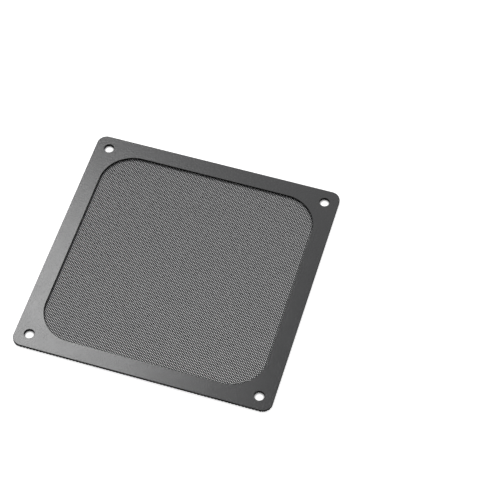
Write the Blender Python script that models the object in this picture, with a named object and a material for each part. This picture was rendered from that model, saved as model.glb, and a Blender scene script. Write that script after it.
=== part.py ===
"""Magnetic dust filter for a 140 mm computer fan, lying flat with its magnetic frame uppermost.

Three die-cut layers make the filter. A perforated film covers the whole back, a ring of double-sided
adhesive film lies on it, and a frame of flexible magnet sheet is bonded on top. Four screw holes pass
through all the layers, at the hole spacing of the fan.

The origin is the centre of the underside, +Z points out of the frame, and the sides lie along X and Y.
Lengths are in metres.
"""

import math
from dataclasses import dataclass, replace

import bmesh
import bpy
from mathutils import Matrix, Vector

# Screw holes, on the same square as the fan's holes.
SCREW_SPACING = 0.1245
SCREW_HOLE_DIAMETER = 0.0054

# Outline of the whole filter, whose sides lie a margin outside the hole centres.
SCREW_MARGIN = 0.00775
FILTER_SIDE = SCREW_SPACING + 2 * SCREW_MARGIN
OUTER_CORNER_RADIUS = 0.0053

# Opening for the air.
BORDER_WIDTH = 0.00935
OPENING_CORNER_RADIUS = 0.0189

# Layers, from the underside up.
SCREEN_THICKNESS = 0.0003
ADHESIVE_THICKNESS = 0.0002
FRAME_THICKNESS = 0.0012
BOND_CLEARANCE = 0.00005

# The die rolls the frame's upper edges over, and the adhesive stops short of every edge of the frame.
EDGE_ROLL = 0.0002
ADHESIVE_SETBACK = 0.0005

# Perforation of the screen: hexagonal holes in staggered columns along Y. They are larger and fewer than
# those of the film, at the same open share of its area. The rim is the plain film round the pattern, and
# a hole that the rim cuts down to less than the smallest share of a whole one is left out.
PERFORATION_COLUMNS = 12
PERFORATION_OPEN_SHARE = 0.31
PERFORATION_RIM = 0.0005
SMALLEST_HOLE_SHARE = 0.2
TRIM_TOLERANCE = 0.00005

# Straight facets in a quarter turn of each kind of round edge.
OUTER_CORNER_FACETS = 8
OPENING_CORNER_FACETS = 20
SCREW_HOLE_FACETS = 8
EDGE_ROLL_FACETS = 3

SHARP_EDGE_ANGLE = math.radians(35)


@dataclass(frozen=True)
class Outline:
    """A square with round corners in the plane of a sheet, or a circle if they take its whole side."""

    half_side: float
    corner_radius: float
    corner_facets: int
    centre: tuple[float, float] = (0.0, 0.0)

    def grown(self, distance):
        """The outline moved outwards by a distance, or inwards if it is negative."""
        return replace(
            self,
            half_side=self.half_side + distance,
            corner_radius=max(self.corner_radius + distance, 0.0),
        )

    def points(self):
        """Points round the outline, anticlockwise."""
        straight = self.half_side - self.corner_radius
        is_circle = math.isclose(self.half_side, self.corner_radius)
        arc_points = self.corner_facets if is_circle else self.corner_facets + 1
        points = []
        for quarter in range(4):
            turn = quarter * math.pi / 2
            for step in range(arc_points):
                angle = step / self.corner_facets * math.pi / 2
                x = straight + self.corner_radius * math.cos(angle)
                y = straight + self.corner_radius * math.sin(angle)
                points.append((
                    self.centre[0] + x * math.cos(turn) - y * math.sin(turn),
                    self.centre[1] + x * math.sin(turn) + y * math.cos(turn),
                ))
        return points


def circle(diameter, quarter_facets, centre):
    """Round outline about a centre."""
    return Outline(diameter / 2, diameter / 2, quarter_facets, centre)


def screw_holes():
    """Outlines of the screw holes, one near each corner."""
    offset = SCREW_SPACING / 2
    return [
        circle(SCREW_HOLE_DIAMETER, SCREW_HOLE_FACETS, (side_x * offset, side_y * offset))
        for side_x in (-1, 1)
        for side_y in (-1, 1)
    ]


def trim(pattern, outline):
    """Cut a flat pattern off along a convex outline, one straight stretch after another."""
    corners = outline.points()
    for (x, y), (next_x, next_y) in zip(corners, corners[1:] + corners[:1]):
        outwards = Vector((next_y - y, x - next_x, 0.0)).normalized()
        bmesh.ops.bisect_plane(
            pattern,
            geom=pattern.verts[:] + pattern.edges[:] + pattern.faces[:],
            plane_co=(x, y, 0.0),
            plane_no=outwards,
            dist=TRIM_TOLERANCE,
            clear_outer=True,
        )


def perforations(opening):
    """Corners of each of the screen's holes, which fill the opening up to a plain rim."""
    column_step = 2 * opening.half_side / PERFORATION_COLUMNS
    pitch = column_step * 2 / math.sqrt(3)
    hole_radius = pitch * math.sqrt(PERFORATION_OPEN_SHARE / 3)
    rows = math.ceil(opening.half_side / pitch)
    pattern = bmesh.new()
    for column in range(PERFORATION_COLUMNS):
        x = (column + 0.5) * column_step - opening.half_side
        stagger = (column % 2) / 2
        for row in range(-rows - 1, rows + 1):
            centre = Matrix.Translation((x, (row + stagger) * pitch, 0.0))
            points_along_x = Matrix.Rotation(math.pi / 2, 4, "Z")
            bmesh.ops.create_circle(
                pattern, cap_ends=True, segments=6, radius=hole_radius, matrix=centre @ points_along_x
            )
    whole_area = pattern.faces[:][0].calc_area()
    trim(pattern, opening.grown(-PERFORATION_RIM))
    holes = [
        [(corner.co.x, corner.co.y) for corner in hole.verts]
        for hole in pattern.faces
        if hole.calc_area() >= SMALLEST_HOLE_SHARE * whole_area
    ]
    pattern.free()
    return holes


def add_loop(mesh, points, height):
    """Closed loop of edges through points in the plane, at a height."""
    corners = [mesh.verts.new((x, y, height)) for x, y in points]
    return [mesh.edges.new((a, b)) for a, b in zip(corners, corners[1:] + corners[:1])]


def edge_profile(thickness, roll):
    """Steps of a cut edge from the bottom up, as pairs of height and distance that the edge draws back."""
    steps = [(0.0, 0.0)]
    if roll == 0.0:
        return steps + [(thickness, 0.0)]
    for step in range(EDGE_ROLL_FACETS + 1):
        angle = step / EDGE_ROLL_FACETS * math.pi / 2
        steps.append((thickness - roll + roll * math.sin(angle), roll - roll * math.cos(angle)))
    return steps


def die_cut_sheet(name, rim, holes, thickness, roll=0.0, punched=()):
    """Flat sheet cut along a rim and round its holes, with its underside at local zero.

    The sheet's upper edges are rounded where a roll is given. Punched holes are given by their corners,
    and their edges stay square. Each cut edge is a stack of loops that are bridged, and a fill between
    the loops closes the two faces.
    """
    sheet = bmesh.new()
    cuts = [
        [
            (outline.grown(into_material * drawn_back).points(), height)
            for height, drawn_back in edge_profile(thickness, roll)
        ]
        for outline, into_material in [(rim, -1)] + [(hole, 1) for hole in holes]
    ]
    cuts += [[(corners, 0.0), (corners, thickness)] for corners in punched]
    lower_edges = []
    upper_edges = []
    for cut in cuts:
        loops = [add_loop(sheet, points, height) for points, height in cut]
        for lower, upper in zip(loops, loops[1:]):
            bmesh.ops.bridge_loops(sheet, edges=lower + upper)
        lower_edges += loops[0]
        upper_edges += loops[-1]
    for edges in (lower_edges, upper_edges):
        bmesh.ops.triangle_fill(sheet, edges=edges, use_beauty=True, normal=(0.0, 0.0, 1.0))
    bmesh.ops.recalc_face_normals(sheet, faces=sheet.faces)
    mesh = bpy.data.meshes.new(name)
    sheet.to_mesh(mesh)
    sheet.free()
    mesh.shade_smooth()
    mesh.set_sharp_from_angle(angle=SHARP_EDGE_ANGLE)
    return mesh


def finish(name, colour, roughness, metallic=0.0):
    """Material with a colour, a roughness and a metallic value."""
    material = bpy.data.materials.new(name)
    material.use_nodes = True
    shader = material.node_tree.nodes["Principled BSDF"]
    shader.inputs["Base Color"].default_value = (*colour, 1.0)
    shader.inputs["Roughness"].default_value = roughness
    shader.inputs["Metallic"].default_value = metallic
    return material


def place(mesh, height, material, assembly):
    """Put a sheet into the assembly with its underside at a height."""
    layer = bpy.data.objects.new(mesh.name, mesh)
    bpy.context.collection.objects.link(layer)
    mesh.materials.append(material)
    layer.location.z = height
    layer.parent = assembly
    return layer


def main():
    """Clear the scene and build the layers from the underside up."""
    for leftover in list(bpy.data.objects):
        bpy.data.objects.remove(leftover, do_unlink=True)

    outer = Outline(FILTER_SIDE / 2, OUTER_CORNER_RADIUS, OUTER_CORNER_FACETS)
    opening = Outline(FILTER_SIDE / 2 - BORDER_WIDTH, OPENING_CORNER_RADIUS, OPENING_CORNER_FACETS)
    adhesive_height = SCREEN_THICKNESS + BOND_CLEARANCE
    frame_height = adhesive_height + ADHESIVE_THICKNESS + BOND_CLEARANCE

    assembly = bpy.data.objects.new("dust_filter", None)
    bpy.context.collection.objects.link(assembly)

    screen = die_cut_sheet(
        "mesh_screen", outer, screw_holes(), SCREEN_THICKNESS, punched=perforations(opening)
    )
    place(screen, 0.0, finish("matt PVC film", (0.035, 0.035, 0.036), 0.55), assembly)

    adhesive = die_cut_sheet(
        "adhesive_ring",
        outer.grown(-ADHESIVE_SETBACK),
        [hole.grown(ADHESIVE_SETBACK) for hole in [opening] + screw_holes()],
        ADHESIVE_THICKNESS,
    )
    place(adhesive, adhesive_height, finish("black adhesive film", (0.02, 0.02, 0.02), 0.5), assembly)

    frame = die_cut_sheet(
        "magnetic_frame", outer, [opening] + screw_holes(), FRAME_THICKNESS, EDGE_ROLL
    )
    place(frame, frame_height, finish("satin rubber magnet", (0.05, 0.05, 0.05), 0.45), assembly)


main()
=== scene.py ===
"""Looks of a magnetic dust filter for a 140 mm computer fan.

The filter lies flat with its magnetic frame uppermost. It is made of three die-cut layers: a finely
perforated film at the bottom, a ring of double-sided adhesive film, and a frame of flexible magnet sheet.
Lengths are in metres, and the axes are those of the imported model: +Z points out of the frame.
"""

import logging
import math
from dataclasses import dataclass
from enum import Enum

import bmesh
import bpy
from mathutils import Matrix, Vector


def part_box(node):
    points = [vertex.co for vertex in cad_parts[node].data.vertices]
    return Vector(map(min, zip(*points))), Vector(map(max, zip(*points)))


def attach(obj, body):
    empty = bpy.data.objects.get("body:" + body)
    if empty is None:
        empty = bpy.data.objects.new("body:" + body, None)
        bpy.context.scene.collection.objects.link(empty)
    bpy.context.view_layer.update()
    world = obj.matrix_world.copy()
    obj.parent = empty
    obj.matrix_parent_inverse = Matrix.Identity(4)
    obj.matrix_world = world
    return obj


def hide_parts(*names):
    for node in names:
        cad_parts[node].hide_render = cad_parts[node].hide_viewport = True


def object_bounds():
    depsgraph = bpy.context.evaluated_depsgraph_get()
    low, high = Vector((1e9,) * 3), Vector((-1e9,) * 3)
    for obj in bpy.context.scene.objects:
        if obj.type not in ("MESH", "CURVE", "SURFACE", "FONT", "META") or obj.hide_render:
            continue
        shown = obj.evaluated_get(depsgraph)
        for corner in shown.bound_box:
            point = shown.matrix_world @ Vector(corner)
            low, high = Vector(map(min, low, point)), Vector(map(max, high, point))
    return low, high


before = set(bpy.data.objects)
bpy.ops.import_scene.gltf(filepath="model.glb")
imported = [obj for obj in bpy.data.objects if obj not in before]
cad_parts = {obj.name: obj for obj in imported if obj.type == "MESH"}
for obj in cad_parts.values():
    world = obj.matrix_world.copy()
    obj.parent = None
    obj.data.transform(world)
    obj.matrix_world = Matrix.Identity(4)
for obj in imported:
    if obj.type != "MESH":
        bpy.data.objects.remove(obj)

CAD_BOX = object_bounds()
BODY = "root"
MM = 0.001
WHITE = (1.0, 1.0, 1.0, 1.0)
SHARP_EDGE_ANGLE = math.radians(35)

# A face stands upright where its normal's share along Z is less than this.
UPRIGHT_LIMIT = 0.5

# Numbers of the Mix node's colour sockets, which share their names with its other sockets.
MIX_A = 6
MIX_B = 7
MIX_RESULT = 2

log = logging.getLogger("dust_filter")


class Node(Enum):
    """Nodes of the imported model, one for each layer."""

    SCREEN = "mesh_screen"
    ADHESIVE = "adhesive_ring"
    FRAME = "magnetic_frame"


class Slot(Enum):
    """Material slots, one for each layer."""

    SCREEN = "screen_film"
    ADHESIVE = "adhesive_film"
    FRAME = "frame_magnet"


class Side(Enum):
    """Surfaces of a die-cut sheet, with the number of the material slot that each takes."""

    FACE = 0
    CUT = 1
    BACK = 2
    ROLLED_EDGE = 3


def linear_colour(hex_code: str) -> tuple[float, float, float, float]:
    """Turn an sRGB colour into the linear values that shader sockets take.

    Args:
        hex_code: Colour as "#rrggbb".

    Returns:
        Linear red, green and blue, and an alpha of 1.
    """
    channels = [int(hex_code[at:at + 2], 16) / 255 for at in (1, 3, 5)]
    # These are the numbers of the sRGB standard's curve.
    linear = [c / 12.92 if c <= 0.04045 else ((c + 0.055) / 1.055) ** 2.4 for c in channels]
    return (*linear, 1.0)


def add_node(
    tree: bpy.types.NodeTree,
    kind: str,
    inputs: dict[str | int, object] | None = None,
    **settings: object,
) -> bpy.types.Node:
    """Add a node with its settings, values and links.

    Args:
        tree: Node tree that gets the node.
        kind: Node's type, without the leading "ShaderNode".
        inputs: Value or source socket for each input, by the input's name or number.
        settings: Properties of the node, by name.

    Returns:
        The new node.
    """
    node = tree.nodes.new("ShaderNode" + kind)
    for name, value in settings.items():
        setattr(node, name, value)
    for name, value in (inputs or {}).items():
        if isinstance(value, bpy.types.NodeSocket):
            tree.links.new(value, node.inputs[name])
        else:
            node.inputs[name].default_value = value
    return node


def empty_tree(owner: bpy.types.Material | bpy.types.World) -> bpy.types.NodeTree:
    """Give a material or world a node tree with nothing in it.

    Args:
        owner: The material or world.

    Returns:
        Its node tree.
    """
    owner.use_nodes = True
    owner.node_tree.nodes.clear()
    return owner.node_tree


def new_material(name: str) -> tuple[bpy.types.Material, bpy.types.NodeTree]:
    """New material with an empty node tree."""
    material = bpy.data.materials.new(name)
    return material, empty_tree(material)


@dataclass(frozen=True)
class CalenderedMagnet:
    """Face of the magnet sheet: ferrite powder in rubber, rolled to a satin skin with a fine grain.

    The rolls leave a skin that shines softly, so the face is pale where it mirrors the lamp and nearly
    black elsewhere. The grain is 0.1 mm on the real sheet. It is drawn at 0.9 mm, the finest that shows.
    The rolls also leave wide, faint streaks, where the skin is a little duller or a little glossier. The
    streaks' noise stays between its low and high values nearly everywhere.
    """

    name: str = "calendered_ferrite_rubber_satin"
    colour: str = "#0a0b0d"
    pale_colour: str = "#1d1e21"
    ior: float = 1.5
    roughness: float = 0.23
    roughness_spread: float = 0.012
    grain_size: float = 0.9 * MM
    grain_height: float = 0.06 * MM
    grain_detail: float = 2.0
    grain_harshness: float = 0.6
    streak_size: float = 9.0 * MM
    streak_detail: float = 3.0
    streak_harshness: float = 0.5
    streak_low: float = 0.25
    streak_high: float = 0.75

    def material(self) -> bpy.types.Material:
        """Build the material.

        Returns:
            The satin face's material.
        """
        material, tree = new_material(self.name)
        place = add_node(tree, "TexCoord").outputs["Object"]
        grain = add_node(
            tree,
            "TexNoise",
            {
                "Vector": place,
                "Scale": 1 / self.grain_size,
                "Detail": self.grain_detail,
                "Roughness": self.grain_harshness,
            },
        )
        streaks = add_node(
            tree,
            "TexNoise",
            {
                "Vector": place,
                "Scale": 1 / self.streak_size,
                "Detail": self.streak_detail,
                "Roughness": self.streak_harshness,
            },
        )
        colour = add_node(
            tree,
            "Mix",
            {
                "Factor": grain.outputs["Fac"],
                MIX_A: linear_colour(self.colour),
                MIX_B: linear_colour(self.pale_colour),
            },
            data_type="RGBA",
        )
        roughness = add_node(
            tree,
            "MapRange",
            {
                "Value": streaks.outputs["Fac"],
                "From Min": self.streak_low,
                "From Max": self.streak_high,
                "To Min": self.roughness - self.roughness_spread,
                "To Max": self.roughness + self.roughness_spread,
            },
        )
        bump = add_node(tree, "Bump", {"Height": grain.outputs["Fac"], "Distance": self.grain_height})
        shader = add_node(
            tree,
            "BsdfPrincipled",
            {
                "Base Color": colour.outputs[MIX_RESULT],
                "Roughness": roughness.outputs["Result"],
                "IOR": self.ior,
                "Normal": bump.outputs["Normal"],
            },
        )
        add_node(tree, "OutputMaterial", {"Surface": shader.outputs["BSDF"]})
        return material


@dataclass(frozen=True)
class MattSurface:
    """Dull black surface with a fine mottle: a die-cut edge, bare rubber, or adhesive or punched film.

    The mottle is drawn some tenths of a millimetre wide, and it shows only in a close view.
    """

    name: str
    colour: str
    pale_colour: str
    roughness: float
    specular: float
    mottle_size: float
    mottle_height: float
    mottle_detail: float = 2.0
    roughness_spread: float = 0.06

    def material(self) -> bpy.types.Material:
        """Build the material.

        Returns:
            The dull surface's material.
        """
        material, tree = new_material(self.name)
        place = add_node(tree, "TexCoord").outputs["Object"]
        mottle = add_node(
            tree,
            "TexNoise",
            {"Vector": place, "Scale": 1 / self.mottle_size, "Detail": self.mottle_detail},
        )
        colour = add_node(
            tree,
            "Mix",
            {
                "Factor": mottle.outputs["Fac"],
                MIX_A: linear_colour(self.colour),
                MIX_B: linear_colour(self.pale_colour),
            },
            data_type="RGBA",
        )
        roughness = add_node(
            tree,
            "MapRange",
            {
                "Value": mottle.outputs["Fac"],
                "To Min": self.roughness - self.roughness_spread,
                "To Max": self.roughness + self.roughness_spread,
            },
        )
        bump = add_node(tree, "Bump", {"Height": mottle.outputs["Fac"], "Distance": self.mottle_height})
        shader = add_node(
            tree,
            "BsdfPrincipled",
            {
                "Base Color": colour.outputs[MIX_RESULT],
                "Roughness": roughness.outputs["Result"],
                "Specular IOR Level": self.specular,
                "Normal": bump.outputs["Normal"],
            },
        )
        add_node(tree, "OutputMaterial", {"Surface": shader.outputs["BSDF"]})
        return material


# The die shears through the ferrite rubber and leaves a dull, nearly black edge.
DIE_CUT_EDGE = MattSurface(
    name="die_cut_ferrite_rubber_dull",
    colour="#0c0c0c",
    pale_colour="#161616",
    roughness=0.85,
    specular=0.02,
    mottle_size=0.6 * MM,
    mottle_height=0.01 * MM,
)
# Painted highlight: the rolled upper edges get a lighter grey, for the thin light line that they catch.
PAINTED_EDGE_HIGHLIGHT = MattSurface(
    name="ferrite_rubber_grey_painted_edge_highlight",
    colour="#242424",
    pale_colour="#343434",
    roughness=0.55,
    specular=0.3,
    mottle_size=0.8 * MM,
    mottle_height=0.005 * MM,
)
# The unrolled back of the magnet sheet is plain dull rubber.
BARE_MAGNET = MattSurface(
    name="bare_ferrite_rubber_matt",
    colour="#1c1c1c",
    pale_colour="#262626",
    roughness=0.65,
    specular=0.4,
    mottle_size=0.8 * MM,
    mottle_height=0.005 * MM,
)
# Black acrylic adhesive shows only as a dark line between the frame and the film.
ADHESIVE_FILM = MattSurface(
    name="acrylic_adhesive_film_black",
    colour="#141414",
    pale_colour="#1e1e1e",
    roughness=0.5,
    specular=0.4,
    mottle_size=0.7 * MM,
    mottle_height=0.004 * MM,
)
# The matt-rolled PVC film is a soft black with no clear reflections. Its webs are narrow, so it looks even.
PUNCHED_PVC = MattSurface(
    name="punched_pvc_film_matt",
    colour="#191a1d",
    pale_colour="#222326",
    roughness=0.6,
    specular=0.2,
    mottle_size=0.35 * MM,
    mottle_height=0.004 * MM,
)


def edges_at(corners: list[bmesh.types.BMVert]) -> list[bmesh.types.BMEdge]:
    """List the edges that meet some corners, each once and in the same order in every run."""
    return list(dict.fromkeys(edge for corner in corners for edge in corner.link_edges))


def thicken(sheet: bmesh.types.BMesh, thickness: float) -> None:
    """Turn a flat sheet into a closed one, with its normals outwards.

    Args:
        sheet: Flat mesh, which becomes the underside.
        thickness: Height of the upper face over the underside.
    """
    raised = bmesh.ops.extrude_face_region(sheet, geom=sheet.faces[:], use_keep_orig=True)
    upper = [part for part in raised["geom"] if isinstance(part, bmesh.types.BMVert)]
    bmesh.ops.translate(sheet, verts=upper, vec=(0.0, 0.0, thickness))
    bmesh.ops.recalc_face_normals(sheet, faces=sheet.faces)


@dataclass(frozen=True)
class DieLines:
    """Lines along which the dies cut the filter's layers, all centred on the filter's axis."""

    side: float
    corner_radius: float = 5.3 * MM
    border_width: float = 9.35 * MM
    opening_radius: float = 18.9 * MM
    screw_spacing: float = 124.5 * MM
    screw_hole_diameter: float = 5.4 * MM
    corner_segments: int = 16
    opening_segments: int = 40
    hole_segments: int = 40

    def add_square(
        self, sheet: bmesh.types.BMesh, side: float, radius: float, segments: int
    ) -> list[bmesh.types.BMEdge]:
        """Add the outline of a square with round corners.

        Args:
            sheet: Mesh that gets the outline.
            side: Length of the square's side.
            radius: Radius of its corners.
            segments: Straight segments in each corner.

        Returns:
            The outline's edges.
        """
        corners = bmesh.ops.create_grid(sheet, x_segments=1, y_segments=1, size=side / 2)["verts"]
        rounded = bmesh.ops.bevel(
            sheet,
            geom=corners,
            offset=radius,
            offset_type="OFFSET",
            segments=segments,
            profile=0.5,
            affect="VERTICES",
            material=-1,
        )
        panel = rounded["verts"][0].link_faces[0]
        outline = list(panel.edges)
        bmesh.ops.delete(sheet, geom=[panel], context="FACES_ONLY")
        return outline

    def add_screw_holes(self, sheet: bmesh.types.BMesh) -> list[bmesh.types.BMEdge]:
        """Add the outlines of the screw holes, one near each corner.

        Args:
            sheet: Mesh that gets the outlines.

        Returns:
            The edges of all the outlines.
        """
        outlines = []
        for side_x in (-1, 1):
            for side_y in (-1, 1):
                centre = Vector((side_x, side_y, 0)) * self.screw_spacing / 2
                ring = bmesh.ops.create_circle(
                    sheet,
                    segments=self.hole_segments,
                    radius=self.screw_hole_diameter / 2,
                    matrix=Matrix.Translation(centre),
                )["verts"]
                outlines += edges_at(ring)
        return outlines

    def cut_sheet(self, bottom: float, top: float, with_opening: bool) -> bmesh.types.BMesh:
        """Cut a closed sheet of even thickness, with its screw holes.

        Args:
            bottom: Height of its underside.
            top: Height of its upper face.
            with_opening: Whether the air's opening is cut out of it.

        Returns:
            The sheet's mesh, with its normals outwards.
        """
        sheet = bmesh.new()
        lines = self.add_square(sheet, self.side, self.corner_radius, self.corner_segments)
        lines += self.add_screw_holes(sheet)
        if with_opening:
            opening = self.side - 2 * self.border_width
            lines += self.add_square(sheet, opening, self.opening_radius, self.opening_segments)
        bmesh.ops.triangle_fill(sheet, edges=lines, use_beauty=True, normal=(0.0, 0.0, 1.0))
        bmesh.ops.translate(sheet, verts=sheet.verts, vec=(0.0, 0.0, bottom))
        thicken(sheet, top - bottom)
        return sheet


def add_piece(name: str, shape: bmesh.types.BMesh) -> bpy.types.Object:
    """Make an object of a finished mesh, and free the mesh.

    Args:
        name: Name of the object and its mesh.
        shape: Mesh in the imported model's axes.

    Returns:
        The object, at the origin.
    """
    mesh = bpy.data.meshes.new(name)
    shape.to_mesh(mesh)
    shape.free()
    piece = bpy.data.objects.new(name, mesh)
    bpy.context.scene.collection.objects.link(piece)
    return piece


def settle(piece: bpy.types.Object, node: Node) -> None:
    """Let a piece ride on the filter in place of a node, and report it.

    Args:
        piece: The finished piece.
        node: Node that it stands for.
    """
    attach(piece, BODY)
    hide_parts(node.value)
    log.info("%s replaces %s, %d faces", piece.name, node.value, len(piece.data.polygons))


@dataclass
class MagneticFrame:
    """Frame of flexible magnet sheet, whose upper edges the die has rolled over."""

    die: DieLines
    bottom: float
    top: float
    edge_roll: float = 0.2 * MM
    roll_steps: int = 4
    coat: CalenderedMagnet = CalenderedMagnet()
    cut: MattSurface = DIE_CUT_EDGE
    back: MattSurface = BARE_MAGNET
    # Grey painted highlight along the rolled upper edges.
    edge_highlight_paint: MattSurface = PAINTED_EDGE_HIGHLIGHT

    def shape(self) -> bmesh.types.BMesh:
        """Model the frame, with the face's edges rounded in steps of a quarter circle.

        Returns:
            The frame's mesh, with the sides of the sheet told apart by material slot.
        """
        sheet = self.die.cut_sheet(self.bottom, self.top - self.edge_roll, with_opening=True)
        face = [side for side in sheet.faces if side.normal.z > UPRIGHT_LIMIT]
        for side in sheet.faces:
            upright = abs(side.normal.z) < UPRIGHT_LIMIT
            side.smooth = upright
            if upright:
                side.material_index = Side.CUT.value
            elif side.normal.z < 0:
                side.material_index = Side.BACK.value
        for step in range(self.roll_steps):
            lower = step / self.roll_steps * math.pi / 2
            upper = (step + 1) / self.roll_steps * math.pi / 2
            rounding = bmesh.ops.inset_region(
                sheet,
                faces=face,
                thickness=self.edge_roll * (math.cos(lower) - math.cos(upper)),
                depth=self.edge_roll * (math.sin(upper) - math.sin(lower)),
                use_boundary=True,
                use_even_offset=True,
            )
            for side in rounding["faces"]:
                side.smooth = True
                side.material_index = Side.ROLLED_EDGE.value
        for edge in sheet.edges:
            edge.smooth = edge.calc_face_angle() < SHARP_EDGE_ANGLE
        return sheet

    def dress(self, piece: bpy.types.Object) -> None:
        """Give the frame its finishes, in the order of the sides.

        Args:
            piece: The frame.
        """
        finishes = {
            Side.FACE: self.coat,
            Side.CUT: self.cut,
            Side.BACK: self.back,
            # The rolled edges take the grey of the painted highlight.
            Side.ROLLED_EDGE: self.edge_highlight_paint,
        }
        for side in Side:
            piece.data.materials.append(finishes[side].material())

    def build(self) -> None:
        """Build the frame and dress it."""
        piece = add_piece("magnet_sheet_frame", self.shape())
        self.dress(piece)
        settle(piece, Node.FRAME)


@dataclass
class PerforatedScreen:
    """Thin film, punched all over with hexagonal holes in staggered columns along Y.

    The webs between the holes meet in threes. The holes are 0.9 mm apart on the real film. They are drawn
    at 1.05 mm, because the real spacing is too fine for the render and breaks up into stripes. The film is
    modelled in strips side by side, which share one pattern, because as one mesh it would have too many
    faces. The outermost strips reach past the filter's sides by a margin, and the blank that cuts them
    reaches as far past both faces of the film.
    """

    die: DieLines
    bottom: float
    top: float
    pitch: float = 1.05 * MM
    web_width: float = 0.49 * MM
    strips: int = 5
    margin: float = 1.0 * MM
    merge_distance: float = 0.01 * MM
    cut_tolerance: float = 1e-8
    film: MattSurface = PUNCHED_PVC

    @property
    def hole_side(self) -> float:
        """Length of one side of a hole."""
        return (self.pitch - self.web_width) / math.sqrt(3)

    def add_junction(self, film: bmesh.types.BMesh, turn: float) -> list[bmesh.types.BMVert]:
        """Add the triangle of film where three webs meet.

        Args:
            film: Mesh that gets the triangle.
            turn: Angle that it is turned by.

        Returns:
            The triangle's corners.
        """
        corners = bmesh.ops.create_circle(
            film, cap_ends=True, segments=3, radius=self.web_width / math.sqrt(3)
        )["verts"]
        bmesh.ops.rotate(film, verts=corners, matrix=Matrix.Rotation(turn, 3, "Z"))
        return corners

    def add_cell(self, film: bmesh.types.BMesh) -> None:
        """Add the smallest patch that repeats: two junctions, and the three webs between holes."""
        hub = self.add_junction(film, math.pi / 2)
        for edge in edges_at(hub):
            outwards = (edge.verts[0].co + edge.verts[1].co).normalized()
            web = bmesh.ops.extrude_edge_only(film, edges=[edge])["geom"]
            ends = [part for part in web if isinstance(part, bmesh.types.BMVert)]
            bmesh.ops.translate(film, verts=ends, vec=outwards * self.hole_side)
        neighbour = self.add_junction(film, -math.pi / 2)
        bmesh.ops.translate(film, verts=neighbour, vec=(self.pitch / math.sqrt(3), 0.0, 0.0))

    def repeat(self, film: bmesh.types.BMesh, copies: int, step: tuple[float, float, float]) -> None:
        """Repeat all of the film along a line.

        Args:
            film: Mesh to repeat.
            copies: Number of copies to add.
            step: Offset from each copy to the next.
        """
        everything = film.verts[:] + film.edges[:] + film.faces[:]
        bmesh.ops.spin(film, geom=everything, steps=copies, dvec=step, angle=0.0, use_duplicate=True)

    def strip(self, left: float, right: float) -> bmesh.types.BMesh:
        """Model a strip of film between two lines along Y, reaching past the filter's other edges.

        Args:
            left: Place of its left edge along X.
            right: Place of its right edge along X.

        Returns:
            The strip's closed mesh.
        """
        pair_width = self.pitch * math.sqrt(3)
        film = bmesh.new()
        self.add_cell(film)
        self.repeat(film, 1, (pair_width / 2, self.pitch / 2, 0.0))
        rows = math.ceil(self.die.side / 2 / self.pitch) + 1
        first_pair = math.floor(left / pair_width) - 1
        pairs = math.ceil(right / pair_width) + 1 - first_pair
        corner = (first_pair * pair_width, -rows * self.pitch, self.bottom)
        bmesh.ops.translate(film, verts=film.verts, vec=corner)
        self.repeat(film, 2 * rows, (0.0, self.pitch, 0.0))
        self.repeat(film, pairs, (pair_width, 0.0, 0.0))
        bmesh.ops.remove_doubles(film, verts=film.verts, dist=self.merge_distance)
        for place, outwards in ((left, -1.0), (right, 1.0)):
            bmesh.ops.bisect_plane(
                film,
                geom=film.verts[:] + film.edges[:] + film.faces[:],
                plane_co=(place, 0.0, 0.0),
                plane_no=(outwards, 0.0, 0.0),
                dist=self.cut_tolerance,
                clear_outer=True,
            )
        thicken(film, self.top - self.bottom)
        return film

    def die_cut(self, piece: bpy.types.Object, blank: bpy.types.Object) -> None:
        """Cut a strip to the filter's outline and its screw holes.

        Args:
            piece: Strip of film.
            blank: Solid that has the outline and the screw holes, thicker than the film.
        """
        cut = piece.modifiers.new("die_cut", "BOOLEAN")
        cut.operation = "INTERSECT"
        cut.object = blank
        cut.solver = "MANIFOLD"
        evaluated = piece.evaluated_get(bpy.context.evaluated_depsgraph_get())
        whole = piece.data
        piece.data = bpy.data.meshes.new_from_object(evaluated)
        piece.data.name = piece.name
        piece.modifiers.clear()
        bpy.data.meshes.remove(whole)

    def build(self) -> None:
        """Build the film strip by strip, and dress it."""
        blank = add_piece(
            "blank",
            self.die.cut_sheet(self.bottom - self.margin, self.top + self.margin, with_opening=False),
        )
        finish = self.film.material()
        width = self.die.side / self.strips
        for number in range(self.strips):
            left = number * width - self.die.side / 2
            past_left = self.margin if number == 0 else 0.0
            past_right = self.margin if number == self.strips - 1 else 0.0
            piece = add_piece(
                f"punched_film_{number + 1}", self.strip(left - past_left, left + width + past_right)
            )
            self.die_cut(piece, blank)
            piece.data.materials.clear()
            piece.data.materials.append(finish)
            settle(piece, Node.SCREEN)
        bpy.data.objects.remove(blank)


@dataclass
class AdhesiveRing:
    """Adhesive film between the screen and the frame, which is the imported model's own node."""

    node: bpy.types.Object
    film: MattSurface = ADHESIVE_FILM

    def build(self) -> None:
        """Dress the node, and report it."""
        self.node.material_slots[0].material = self.film.material()
        log.info("%s keeps its own mesh", self.node.name)


@dataclass(frozen=True)
class Softbox:
    """Square lamp with an even face, turned towards the filter."""

    name: str
    place: tuple[float, float, float]
    side: float
    radiance: float

    def build(self) -> None:
        """Add the lamp, with the power that gives its face its radiance."""
        data = bpy.data.lights.new(self.name, "AREA")
        data.shape = "SQUARE"
        data.size = self.side
        data.energy = self.radiance * math.pi * self.side ** 2
        lamp = bpy.data.objects.new(self.name, data)
        lamp.location = self.place
        lamp.rotation_euler = (-Vector(self.place)).to_track_quat("-Z", "Y").to_euler()
        bpy.context.scene.collection.objects.link(lamp)
        log.info("lamp %s", self.name)


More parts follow.
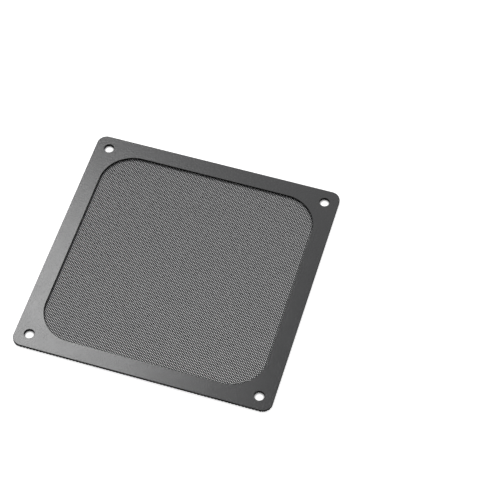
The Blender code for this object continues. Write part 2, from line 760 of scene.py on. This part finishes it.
@dataclass(frozen=True)
class ViewCamera:
    """Camera at the photograph's viewing angle, fitted on the four screw holes."""

    place: tuple[float, float, float] = (168.82 * MM, -443.35 * MM, 750.98 * MM)
    aim: tuple[float, float, float] = (32.34 * MM, 20.55 * MM, 1.8 * MM)
    roll: float = math.radians(0.469)
    lens_mm: float = 119.85
    sensor_mm: float = 36.0
    nearest: float = 0.01
    farthest: float = 20.0

    def build(self) -> None:
        """Add the camera and make it the scene's own."""
        data = bpy.data.cameras.new("view_camera")
        data.lens = self.lens_mm
        data.sensor_width = self.sensor_mm
        data.clip_start = self.nearest
        data.clip_end = self.farthest
        camera = bpy.data.objects.new("view_camera", data)
        sight = Vector(self.aim) - Vector(self.place)
        level = sight.to_track_quat("-Z", "Y").to_matrix().to_4x4()
        turned = level @ Matrix.Rotation(self.roll, 4, "Z")
        camera.matrix_world = Matrix.Translation(self.place) @ turned
        bpy.context.scene.collection.objects.link(camera)
        bpy.context.scene.camera = camera


@dataclass
class Studio:
    """White paper floor, a lamp that the frame mirrors on its left, one behind it, and an even pale room.

    The paper is white, and it glows, only where it is seen directly or in a reflection. What it throws
    back on to the filter is the light of its plain pale colour.
    """

    die: DieLines
    floor_side: float = 6.0
    floor_drop: float = 0.05 * MM
    floor_colour: str = "#e7e7e7"
    floor_seen_colour: str = "#ffffff"
    floor_glow: float = 0.62
    fibre_size: float = 1.5 * MM
    fibre_height: float = 0.002 * MM
    painted_shade_width: float = 1.1 * MM
    room_light: float = 0.45
    room_seen_light: float = 1.0
    lamps: tuple[Softbox, ...] = (
        Softbox("key_softbox", place=(-0.385, 0.465, 1.0), side=0.293, radiance=12.5),
        Softbox("rear_softbox", place=(-0.175, 1.376, 1.0), side=1.336, radiance=0.75),
    )
    camera: ViewCamera = ViewCamera()

    def seen_directly(self, tree: bpy.types.NodeTree) -> bpy.types.NodeSocket:
        """Factor that is 1 for rays from the camera, and for those that a surface mirrors or lets through.

        Args:
            tree: Node tree that gets the nodes.

        Returns:
            The factor's socket.
        """
        rays = add_node(tree, "LightPath").outputs
        mirrored = add_node(
            tree, "Math", {0: rays["Is Camera Ray"], 1: rays["Is Glossy Ray"]}, operation="MAXIMUM"
        )
        return add_node(
            tree, "Math", {0: mirrored.outputs[0], 1: rays["Is Transmission Ray"]}, operation="MAXIMUM"
        ).outputs[0]

    def off_wall(
        self, tree: bpy.types.NodeTree, past_centre: bpy.types.NodeSocket, radius: float
    ) -> bpy.types.NodeSocket:
        """Distance of a point of the floor from a round wall.

        Args:
            tree: Node tree that gets the nodes.
            past_centre: Offset of the point from the centre of the wall.
            radius: Radius of the wall.

        Returns:
            The distance's socket.
        """
        reach = add_node(tree, "VectorMath", {0: past_centre}, operation="LENGTH")
        past_wall = add_node(tree, "Math", {0: reach.outputs["Value"], 1: radius}, operation="SUBTRACT")
        return add_node(tree, "Math", {0: past_wall.outputs[0]}, operation="ABSOLUTE").outputs[0]

    def glow(self, tree: bpy.types.NodeTree, place: bpy.types.NodeSocket) -> bpy.types.NodeSocket:
        """Strength of the paper's glow, with painted shade: it is drawn weaker near the walls of the
        cut-outs, where they keep the light off.

        The floor is folded into one quarter, which has one corner of the opening and one screw hole.

        Args:
            tree: Node tree that gets the nodes.
            place: Object coordinates of the floor.

        Returns:
            The strength's socket.
        """
        core = self.die.side / 2 - self.die.border_width - self.die.opening_radius
        hole = self.die.screw_spacing / 2
        level = add_node(
            tree, "VectorMath", {0: place, 1: (1.0, 1.0, 0.0)}, operation="MULTIPLY"
        ).outputs["Vector"]
        folded = add_node(tree, "VectorMath", {0: level}, operation="ABSOLUTE").outputs["Vector"]
        past_core = add_node(tree, "VectorMath", {0: folded, 1: (core, core, 0.0)}, operation="SUBTRACT")
        beyond = add_node(
            tree, "VectorMath", {0: past_core.outputs["Vector"], 1: (0.0, 0.0, 0.0)}, operation="MAXIMUM"
        )
        past_hole = add_node(tree, "VectorMath", {0: folded, 1: (hole, hole, 0.0)}, operation="SUBTRACT")
        off_opening = self.off_wall(tree, beyond.outputs["Vector"], self.die.opening_radius)
        off_hole = self.off_wall(tree, past_hole.outputs["Vector"], self.die.screw_hole_diameter / 2)
        nearest = add_node(tree, "Math", {0: off_opening, 1: off_hole}, operation="MINIMUM")
        return add_node(
            tree,
            "MapRange",
            {"Value": nearest.outputs[0], "From Max": self.painted_shade_width, "To Max": self.floor_glow},
        ).outputs["Result"]

    def build_floor(self) -> None:
        """Lay the paper floor just under the filter."""
        material, tree = new_material("studio_paper_white")
        place = add_node(tree, "TexCoord").outputs["Object"]
        fibres = add_node(tree, "TexNoise", {"Vector": place, "Scale": 1 / self.fibre_size})
        bump = add_node(tree, "Bump", {"Height": fibres.outputs["Fac"], "Distance": self.fibre_height})
        lit = add_node(
            tree,
            "BsdfDiffuse",
            {"Color": linear_colour(self.floor_colour), "Normal": bump.outputs["Normal"]},
        )
        seen = add_node(tree, "BsdfDiffuse", {"Color": linear_colour(self.floor_seen_colour)})
        # The glow's strength carries the painted shade along the walls of the opening and the screw holes.
        glow = add_node(tree, "Emission", {"Strength": self.glow(tree, place)})
        bright = add_node(tree, "AddShader", {0: seen.outputs[0], 1: glow.outputs[0]})
        paper = add_node(
            tree, "MixShader", {"Fac": self.seen_directly(tree), 1: lit.outputs[0], 2: bright.outputs[0]}
        )
        add_node(tree, "OutputMaterial", {"Surface": paper.outputs[0]})
        sheet = bmesh.new()
        bmesh.ops.create_grid(sheet, x_segments=1, y_segments=1, size=self.floor_side / 2)
        bmesh.ops.translate(sheet, verts=sheet.verts, vec=(0.0, 0.0, CAD_BOX[0].z - self.floor_drop))
        floor = add_piece("paper_floor", sheet)
        floor.data.materials.append(material)

    def build_room(self) -> None:
        """Light the scene evenly from all round, and show white where nothing else is."""
        world = bpy.data.worlds.new("pale_room")
        tree = empty_tree(world)
        lit = add_node(tree, "Background", {"Color": WHITE, "Strength": self.room_light})
        seen = add_node(tree, "Background", {"Color": WHITE, "Strength": self.room_seen_light})
        room = add_node(
            tree, "MixShader", {"Fac": self.seen_directly(tree), 1: lit.outputs[0], 2: seen.outputs[0]}
        )
        add_node(tree, "OutputWorld", {"Surface": room.outputs[0]})
        bpy.context.scene.world = world

    def build(self) -> None:
        """Build the floor, the light and the camera."""
        self.build_floor()
        self.build_room()
        for lamp in self.lamps:
            lamp.build()
        self.camera.build()
        bpy.context.scene.view_settings.view_transform = "Standard"


def main() -> None:
    """Build the filter layer by layer, then the studio round it."""
    logging.basicConfig(level=logging.INFO, format="%(name)s: %(message)s")
    frame_low, frame_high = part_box(Node.FRAME.value)
    screen_low, screen_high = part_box(Node.SCREEN.value)
    die = DieLines(side=frame_high.x - frame_low.x)
    PerforatedScreen(die, screen_low.z, screen_high.z).build()
    AdhesiveRing(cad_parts[Node.ADHESIVE.value]).build()
    MagneticFrame(die, frame_low.z, frame_high.z).build()
    Studio(die).build()


if __name__ == "__main__":
    main()
